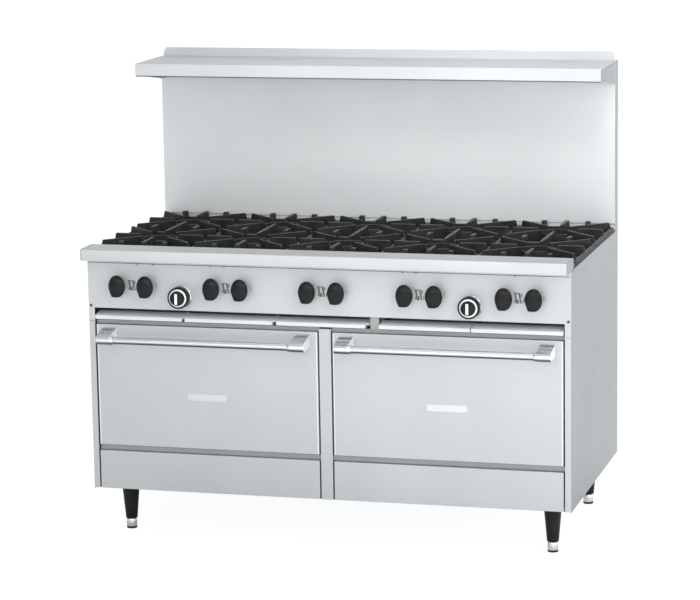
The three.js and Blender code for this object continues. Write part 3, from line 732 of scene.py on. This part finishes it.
def handle(side, x, body):
    """A bar handle: a satin bar held in two cast end brackets, each with a round nose."""
    reach, half_width = 307, 21.5
    nose_y, nose_z, nose = -61.5, 634, 14
    brackets = Shape()
    outline = [
        (-0.2, 663), (-0.2, 622), (-42, 620.4), *arc(nose_y, nose_z, nose, 285, 150, 12),
        (-71, 646.5), (-66, 649.5),
    ]
    for sign in (-1, 1):
        ends = sorted((x + sign * (reach - half_width), x + sign * (reach + half_width)))
        brackets.prism_x(outline, *ends)
        collar = [(12, -2), (13.4, 0), (13.4, 6), (12.6, 8.5), (11.3, 9.5), (0, 9.5)]
        start = x + sign * (reach - half_width)
        brackets.turned([(0, 4 * sign), *[(r, -a * sign) for r, a in collar]],
                        (start, nose_y, nose_z), "x", 40)
    piece = make(f"handle_brackets_{side}", brackets, CHROME, 1.2, 3, 32)
    show(piece, body, "chrome", f"door_handle_{side}")
    # Thin pale sheets on the brackets' flat ends: a painted highlight.
    inner = [
        (-1.4, 661), (-1.4, 624), (-42, 622.4), *arc(nose_y, nose_z, nose - 2, 285, 150, 12),
        (-70, 645), (-65, 648),
    ]
    faces = Shape()
    for sign in (-1, 1):
        for edge in (reach - half_width, reach + half_width):
            at = x + sign * edge
            faces.prism_x(inner, at - 0.25, at + 0.25)
    show(make(f"handle_end_faces_{side}", faces, PALE_HIGHLIGHT_METAL), body, "chrome")
    bar = Shape().turned([(0, -290), (11, -290), (11, 290), (0, 290)], (x, nose_y, nose_z), "x", 48)
    show(make(f"handle_bar_{side}", bar, BAR_STEEL), body, "chrome")


def oven_inside(side, x):
    """The enamelled cavity with its pressed rack guides, and the wire rack."""
    walls = Shape()
    inner, outer = OVEN_HALF, OVEN_HALF + SHEET
    z0, z1 = OVEN_BOTTOM, OVEN_TOP
    front, rear = 38.4, 666
    walls.box(x - outer, x + outer, front, rear + SHEET, z0 - SHEET, z0)
    walls.box(x - outer, x + outer, front, rear + SHEET, z1, z1 + SHEET)
    walls.box(x - inner, x + inner, rear, rear + SHEET, z0, z1)
    for edge in (x - outer, x + inner):
        walls.box(edge, edge + SHEET, front, rear + 1, z0 - 1, z1 + 1)
    for sign in (-1, 1):
        for z in (400, 480):
            lip = [(0, z - 9), (-9, z - 5), (-10, z), (-8, z), (0, z - 3)]
            shelf = [(x + sign * (inner + u), v) for u, v in lip]
            walls.prism_y(shelf, 60, rear - 10)
    liner = make(f"oven_cavity_{side}", walls, OVEN_ENAMEL, 0.8)
    show(liner, "root", "oven_enamel", f"oven_liner_{side}")

    rack = Shape()
    z = 404
    left, right, near, far = x - 324.5, x + 324.5, 69, 651
    loop = [(u, v, z) for u, v in rounded(left, right, near, far, 18)]
    rack.rod([*loop, loop[0]], 3.4, 10)
    for y in (near + 110, (near + far) / 2, far - 110):
        rack.rod([(left, y, z - 0.4), (right, y, z - 0.4)], 2.6, 8)
    wires = 19
    for i in range(wires):
        u = left + (right - left) * (i + 1) / (wires + 1)
        rack.rod([(u, near, z + 1.2), (u, far, z + 1.2)], 1.9, 8)
    show(make(f"oven_rack_wires_{side}", rack, PLATED_WIRE), "root", "chrome", f"oven_rack_{side}")


# ---- Legs ----


def legs():
    """Four tapered legs and their levelling feet."""
    spacing = 672  # from the middle of the range to a leg
    shell = Shape().turned([
        (0, 60), (8.6, 60), (8.6, 32.6), (16.6, 32.4), (18.1, 33.4), (18.4, 36), (22, 78),
        (25.6, 118), (28.2, 143), (28.9, 148), (29, 153.6), (0, 153.6),
    ])
    pad = Shape().turned([
        (0, 0), (15.2, 0), (16.3, 0.8), (16.4, 4.4), (15.6, 5.2), (0, 5.2),
    ])
    post = Shape().turned([
        (0, 4.6), (14.4, 4.8), (15.9, 6.2), (16.2, 9), (16.2, 27.5), (15.2, 30.6), (12, 31.9),
        (8, 32), (8, 58), (0, 58),
    ])
    leg_piece = make("leg_shell", shell, PLASTIC, smooth=50)
    pad_piece = make("foot_rim", pad, RUBBER, smooth=50)
    post_piece = make("foot_post", post, CHROME, smooth=50)
    for end, y in (("front", 114), ("rear", 702)):
        for side, sign in SIDES.items():
            x = sign * spacing
            where = f"{end}_{side}"
            shown = copy_to(leg_piece, f"leg_shell_{where}", x, y)
            show(shown, "root", "black_plastic", f"leg_{where}")
            shown = copy_to(post_piece, f"foot_post_{where}", x, y)
            show(shown, f"foot_{where}", "chrome", f"foot_{where}")
            shown = copy_to(pad_piece, f"foot_rim_{where}", x, y)
            show(shown, f"foot_{where}", "black_plastic")
    for pattern in (leg_piece, pad_piece, post_piece):
        bpy.data.objects.remove(pattern)


# ---- Controls ----


def knob_outline(scale, sides=72):
    """A burner knob's oval outline with its blunt tip at the lower left."""
    half_width, half_height = 26.2, 34.2
    tip = math.radians(-117)
    points = []
    for i in range(sides):
        a = 2 * math.pi * i / sides
        oval = 1 / math.hypot(math.cos(a) / half_width, math.sin(a) / half_height)
        point = 4.4 * max(0, math.cos(a - tip)) ** 40
        radius = (oval + point * scale) * scale
        points.append((radius * math.cos(a), radius * math.sin(a)))
    return points


def burner_knobs():
    """Ten moulded knobs, each a domed oval with a blunt tip, on a stem."""
    offset, height = 45, 796  # of a knob from the middle of its pair, and from the floor
    dome = [
        (0.50, -7.2), (0.52, -8), (0.56, -14), (0.66, -20), (0.82, -25), (0.94, -28.5),
        (0.99, -31.5), (1.0, -34), (0.985, -36.5), (0.94, -39), (0.84, -41.3), (0.66, -43),
        (0.42, -44.1), (0.18, -44.6), (0.03, -44.7),
    ]
    knob = Shape().skin([[(u, y, v) for u, v in knob_outline(s)] for s, y in dome])
    pattern = make("knob_dome", knob, PLASTIC, smooth=60)
    stem = Shape().turned([(0, -8), (5, -8), (5, 25), (0, 25)], axis="y", sides=20)
    shaft = make("knob_stem", stem, PLATED_WIRE)
    for i, x in enumerate(SECTIONS, 1):
        for row, dx in (("front", -offset), ("rear", offset)):
            body = f"burner_knob_{row}_{i}"
            piece = copy_to(pattern, f"knob_{row}_{i}", x + dx, 0, height)
            show(piece, body, "black_plastic", body)
            piece = copy_to(shaft, f"knob_stem_{row}_{i}", x + dx, 0, height)
            show(piece, body, "chrome")
    for spare in (pattern, shaft):
        bpy.data.objects.remove(spare)


def burner_marks():
    """The printed marks beside the knobs: slanted bars, blocks, rising bars and short ticks."""
    low, high = 779, 811
    for i, x in enumerate(SECTIONS, 1):
        marks = Shape()
        left = x - 20
        for edge in (left, left + 12.5):
            slant = [(edge, high), (edge + 5.5, high), (edge + 10.5, low), (edge + 6, low)]
            marks.prism_y(slant, *PRINT)
        marks.box(left + 5, left + 12, *PRINT, high - 3, high)
        marks.box(left + 9.5, left + 14.5, *PRINT, low, low + 12)
        marks.box(left + 1, left + 4.5, *PRINT, low + 2, low + 9)
        marks.box(left + 20.5, left + 24, *PRINT, high - 12, high - 2)
        for k in range(3):
            marks.box(x + 6 + 4.2 * k, x + 8.6 + 4.2 * k, *PRINT, low + 2, low + 12 + 8 * k)
        for step in (0, 5, 10):
            marks.box(x + 68, x + 71.5, *PRINT, 790 + step, 792 + step)
        show(make(f"burner_marks_{i}", marks, MARKING), "root", "black_plastic")


def thermostats():
    """Two oven thermostats: a fixed collar, and a black skirted dial with a bright ring and bar."""
    for side, sign in SIDES.items():
        x, z = sign * 450, 766
        centre = (x, 0, z)
        body = f"thermostat_knob_{side}"
        rim = [(24, -0.3), (24, -5), (26, -7.4), (31, -7.4), (33.6, -5), (34.6, -0.3)]
        collar = Shape().ring(rim, centre, "y", 72)
        piece = make(f"thermostat_collar_{side}", collar, CHROME, smooth=50)
        show(piece, "root", "chrome", f"thermostat_bezel_{side}")
        skirt = Shape().turned([
            (0, -33), (27.8, -33), (27.8, -36), (29, -37), (32, -36.6), (33, -35), (33, -13),
            (31.6, -10), (29, -8.4), (5, -8.3), (5, 25), (0, 25),
        ], centre, "y", 72)
        piece = make(f"thermostat_skirt_{side}", skirt, PLASTIC, smooth=40)
        show(piece, body, "black_plastic", body)
        face = [(22.6, -32.6), (22.6, -38.2), (23.6, -38.4), (27.6, -36.6), (27.6, -32.6)]
        bright = Shape().ring(face, centre, "y", 72)
        show(make(f"thermostat_face_{side}", bright, DIAL_CHROME, smooth=50), body, "chrome")
        grip = Shape().turned([
            (0, -32.8), (22.4, -32.8), (22.4, -40), (21.6, -46), (20.2, -50.4), (18, -52.6),
            (15, -53.4), (0, -53.6),
        ], centre, "y", 64)
        show(make(f"thermostat_grip_{side}", grip, PLASTIC, smooth=40), body, "black_plastic")
        bar = rounded(x - 4, x + 4, z - 16.5, z + 16.5, 1.6, 3)
        pointer = Shape().prism_y(bar, -54.8, -52.8)
        show(make(f"thermostat_pointer_{side}", pointer, POINTER, 0.5), body, "stainless")
        ticks = Shape()
        for u, v in arc(x, z, 38.2, 90, -150, 8):
            ticks.prism_y(arc(u, v, 0.9, 0, 315, 7), -0.25, 0.2)
        show(make(f"thermostat_ticks_{side}", ticks, MARKING), "root", "black_plastic")


def crumb_trays():
    """Five crumb trays: a bright folded ledge in front of a shallow pan coloured near black."""
    wall = 1.5
    edge, bottom, rear, rim = 139, 687, 690, 704.8
    half = edge - 0.1
    ledge = Shape()
    fold = [
        (0, bottom), (0, 697.6), (1.4, 699), (49, 706), (50, 705), (50, bottom), (48.5, bottom),
        (48.5, 704), (1.5, 697.4), (1.5, bottom),
    ]
    ledge.prism_x(fold, -half, half)
    pan = Shape()
    pan.prism_x([
        (50.1, bottom), (50.1, 704.6), (51.5, 704.6), (51.5, bottom + wall),
        (688.6, bottom + wall), (688.6, rim), (rear, rim), (rear, bottom),
    ], -half, half)
    for x in (-edge, edge - wall):
        pan.box(x, x + wall, 50.4, 689.6, 687.4, 704.6)
        ledge.box(x + 0.05, x + wall - 0.05, 0.4, 49.6, 687.2, 699.4)
    ledge_piece = make("tray_ledge", ledge, TRAY_STEEL, 0.35)
    pan_piece = make("tray_pan", pan, PAN_STEEL, 0.35)
    for i, x in enumerate((-591, -303, -13, 307, 588), 1):
        body = f"crumb_tray_{i}"
        show(copy_to(ledge_piece, f"tray_ledge_{i}", x), body, "stainless")
        show(copy_to(pan_piece, f"tray_pan_{i}", x), body, "stainless", body)
    for pattern in (ledge_piece, pan_piece):
        bpy.data.objects.remove(pattern)


# ---- The cooktop ----


def blade(shape, start, end, bottoms, top, widths, slopes=(0, 0), lean=1.0):
    """A cast bar between two points, tapered, wider at its foot, with a slope at each end."""
    a, b = Vector((*start, 0)), Vector((*end, 0))
    along = (b - a).normalized()
    across = Vector((-along.y, along.x, 0))
    rings = []
    for spot, bottom, width, slope in zip((a, b), bottoms, widths, (slopes[0], -slopes[1])):
        half, wide = width / 2, width / 2 + lean
        crest = spot + along * slope
        rings.append([
            (*(crest + across * half).xy, top),
            (*(crest - across * half).xy, top),
            (*(spot - across * wide).xy, bottom),
            (*(spot + across * wide).xy, bottom),
        ])
    shape.skin(rings)


def grates():
    """Ten cast grates: a frame, a ring, four tall diagonal fins, four fingers, and lugs."""
    grate = Shape()
    x, y = 149, 160  # half the grate's width and depth
    width = 9.4  # of a frame bar along its top
    side, end = x - 6, y - 6
    for sign in SIDES.values():
        blade(grate, (-x + 0.3, sign * end), (x - 0.3, sign * end), (882, 882), 895,
              (width, width), lean=1.3)
        blade(grate, (sign * side, -y + 0.3), (sign * side, y - 0.3), (882, 882), 894.8,
              (width, width), lean=1.3)
    for sx in (-1, 1):
        for sy in (-1, 1):
            blade(grate, (sx * 38, sy * 40), (sx * 137, sy * 135), (875.4, 875.4), 914.6,
                  (6, 7.2), (4, 3), 1.2)
            blade(grate, (sx * 130, sy * 129), (sx * 144, sy * 142), (883, 883), 914.4,
                  (7, 7.2), (0, 9), 1.2)
        blade(grate, (sx * 56, 0), (sx * 148.6, 0), (884, 882.6), 914.6, (7.4, 9.5), (8, 6), 1.3)
    for sy in (-1, 1):
        blade(grate, (0, sy * 52), (0, sy * 159.8), (884, 882.4), 914.8, (7.4, 14), (8, 3), 1.3)
        for lug in (-72, 68):
            blade(grate, (lug, sy * 133), (lug, sy * 159.8), (884, 882.4), 914.4, (13, 15),
                  (7, 2), 1.2)
    hoop = [(51, 883), (51.4, 901), (53, 902.6), (57, 902.6), (58.6, 901), (59, 883)]
    grate.ring(hoop, (0, 0, 0), "z", 48)
    pattern = make("grate_casting", grate, IRON, 1.4, 2, 50)
    for row, cy in ROWS.items():
        for i, cx in enumerate(SECTIONS, 1):
            body = f"grate_{row}_{i}"
            piece = copy_to(pattern, f"{body}_casting", cx, cy)
            show(piece, body, "cast_iron", body)
    bpy.data.objects.remove(pattern)


def burners():
    """Ten burner heads with ported rims and lift-off caps, on their tubes and feed pipes."""
    ports = 36
    pipe_places = {"front": (84, 816), "rear": (52, 780)}
    for row, (pipe_y, pipe_z) in pipe_places.items():
        cy = ROWS[row]
        heads = Shape()
        for x in SECTIONS:
            heads.turned([
                (0, pipe_z - 12), (27, pipe_z - 12), (30, pipe_z), (29, 832), (42, 845),
                (48, 849), (48, 855), (40, 857), (0, 857),
            ], (x, cy, 0), "z", 40)
            heads.turned([
                (0, 856), (44, 856), (51.6, 858), (52, 861), (49, 864), (40, 865), (33, 865.4),
                (31.6, 867), (31, 875), (28, 878.4), (20, 879.8), (9, 879.8), (8, 877), (0, 877),
            ], (x, cy, 0), "z", 48)
            for k in range(ports):
                a = 2 * math.pi * k / ports
                u, v = math.cos(a), math.sin(a)
                tooth = [(x + r * u - s * v, cy + r * v + s * u)
                         for r, s in ((44, -1.3), (50, -1.6), (50, 1.6), (44, 1.3))]
                heads.prism_z(tooth, 848, 858)
        piece = make(f"burner_heads_{row}", heads, BURNER_IRON, smooth=45)
        show(piece, "root", "cast_iron", f"burners_{row}_row")
        pipes = Shape()
        feed = [(0, -690), (12.8, -690), (12.8, 690), (0, 690)]
        pipes.turned(feed, (0, pipe_y, pipe_z), "x", 24)
        for x in SECTIONS:
            pipes.turned([
                (0, 0), (15, 0), (15, 22), (11, 30), (11, 46), (12.8, 80), (12.8, cy - pipe_y),
                (0, cy - pipe_y),
            ], (x, pipe_y, pipe_z), "y", 24)
        show(make(f"burner_tubes_{row}", pipes, PLAIN_STEEL, smooth=45), "root", "plain_steel")


# ---- The studio ----


def camera():
    """The view that the fitted lens and standpoint give, from the front right and above."""
    yaw, pitch, roll = -0.26774, -0.18308, -0.01569
    standpoint = Vector((2261.8, -7951.8, 2299.1))
    flat = math.cos(pitch)
    ahead = Vector((math.sin(yaw) * flat, math.cos(yaw) * flat, math.sin(pitch)))
    level = Vector((math.cos(yaw), -math.sin(yaw), 0))
    above = level.cross(ahead)
    right = level * math.cos(roll) + above * math.sin(roll)
    up = above * math.cos(roll) - level * math.sin(roll)
    data = bpy.data.cameras.new("camera")
    data.sensor_width = 36
    data.lens = 144.49
    data.clip_end = 100
    view = bpy.data.objects.new("camera", data)
    bpy.context.collection.objects.link(view)
    turn = Matrix((right, up, -ahead)).transposed().to_4x4()
    view.matrix_world = Matrix.Translation(standpoint * MM + Vector((0, FRONT, 0))) @ turn
    bpy.context.scene.camera = view


def lamp(name, at, aim, size, power, spread_angle=180):
    """A soft rectangular light, aimed at a point."""
    data = bpy.data.lights.new(name, "AREA")
    data.shape = "RECTANGLE"
    data.size, data.size_y = size
    data.energy = power
    data.spread = math.radians(spread_angle)
    light = bpy.data.objects.new(name, data)
    bpy.context.collection.objects.link(light)
    light.location = at
    light.rotation_euler = (Vector(aim) - Vector(at)).to_track_quat("-Z", "Y").to_euler()


def side_glow(tree, direction):
    """Brightness that grows from the left of the studio to the right."""
    apart = tree.nodes.new("ShaderNodeSeparateXYZ")
    tree.links.new(direction, apart.inputs["Vector"])
    return apart, spread(tree, apart.outputs["X"], 0.70, 1.30, -0.5, -0.02)


def product(tree, a, b):
    """Two values multiplied."""
    node = tree.nodes.new("ShaderNodeMath")
    node.operation = "MULTIPLY"
    tree.links.new(a, node.inputs[0])
    tree.links.new(b, node.inputs[1])
    return node.outputs["Value"]


def studio_floor():
    """A white floor. Metal sees it as a lit sweep, dimmer close to the range than further out."""
    floor_mesh = bpy.data.meshes.new("floor")
    reach = 60
    floor_mesh.from_pydata(
        [(-reach, -reach, 0), (reach, -reach, 0), (reach, reach, 0), (-reach, reach, 0)],
        [], [(0, 1, 2, 3)],
    )
    floor = bpy.data.objects.new("floor", floor_mesh)
    bpy.context.collection.objects.link(floor)
    paper, tree, shader = nodes_of("floor_paper", (0.22, 0.22, 0.22))
    shader.inputs["Roughness"].default_value = 0.9
    shader.inputs["Specular IOR Level"].default_value = 0.0
    shader.inputs["Emission Color"].default_value = (0.97, 0.985, 1, 1)
    place = tree.nodes.new("ShaderNodeTexCoord").outputs["Object"]
    away = tree.nodes.new("ShaderNodeVectorMath")
    away.operation = "LENGTH"
    tree.links.new(place, away.inputs[0])
    straight = tree.nodes.new("ShaderNodeVectorMath")
    straight.operation = "NORMALIZE"
    tree.links.new(place, straight.inputs[0])
    _, sideways = side_glow(tree, straight.outputs["Vector"])
    sweep = product(tree, spread(tree, away.outputs["Value"], 0.3, 0.97, 0.6, 1.35), sideways)
    rays = tree.nodes.new("ShaderNodeLightPath")
    seen = tree.nodes.new("ShaderNodeMix")
    seen.inputs["B"].default_value = 0.93
    tree.links.new(rays.outputs["Is Camera Ray"], seen.inputs["Factor"])
    tree.links.new(sweep, seen.inputs["A"])
    tree.links.new(seen.outputs["Result"], shader.inputs["Emission Strength"])
    floor_mesh.materials.append(paper)


def surround():
    """A pale surround: brightest round the horizon, dimmer overhead and to the left."""
    world = bpy.data.worlds.new("surround")
    bpy.context.scene.world = world
    world.use_nodes = True
    tree = world.node_tree
    sky = tree.nodes["Background"]
    sky.inputs["Color"].default_value = (0.965, 0.985, 1, 1)
    direction = tree.nodes.new("ShaderNodeTexCoord").outputs["Generated"]
    apart, sideways = side_glow(tree, direction)
    height = spread(tree, apart.outputs["Z"], 1.0, 0.5, 0.1, 0.75)
    tree.links.new(product(tree, height, sideways), sky.inputs["Strength"])


def studio():
    """The floor, the surround and soft lights."""
    studio_floor()
    surround()
    lamp("key", (3.6, -4.2, 3.2), (0, 0, 0.7), (2.2, 2.2), 60)
    lamp("top", (0.5, -0.5, 5.5), (0, 0, 0), (5.0, 4.0), 60)
    lamp("front", (-0.6, -5.5, 1.9), (0, 0, 0.7), (3.0, 0.8), 30)
    lamp("guard_wash", (0.75, -1.6, 2.9), (0.32, 0.38, 0.97), (1.4, 0.8), 2.0, 34)
    settings = bpy.context.scene.view_settings
    settings.view_transform = "Standard"
    settings.look = "None"


camera()
side_panels()
front_frame()
valve_panel()
front_rail()
top_frame()
backguard()
high_shelf()
chassis()
for side, sign in SIDES.items():
    kick_panel(side, sign * BAY)
    door(side, sign * BAY)
    oven_inside(side, sign * BAY)
legs()
burner_knobs()
burner_marks()
thermostats()
crumb_trays()
burners()
grates()
studio()
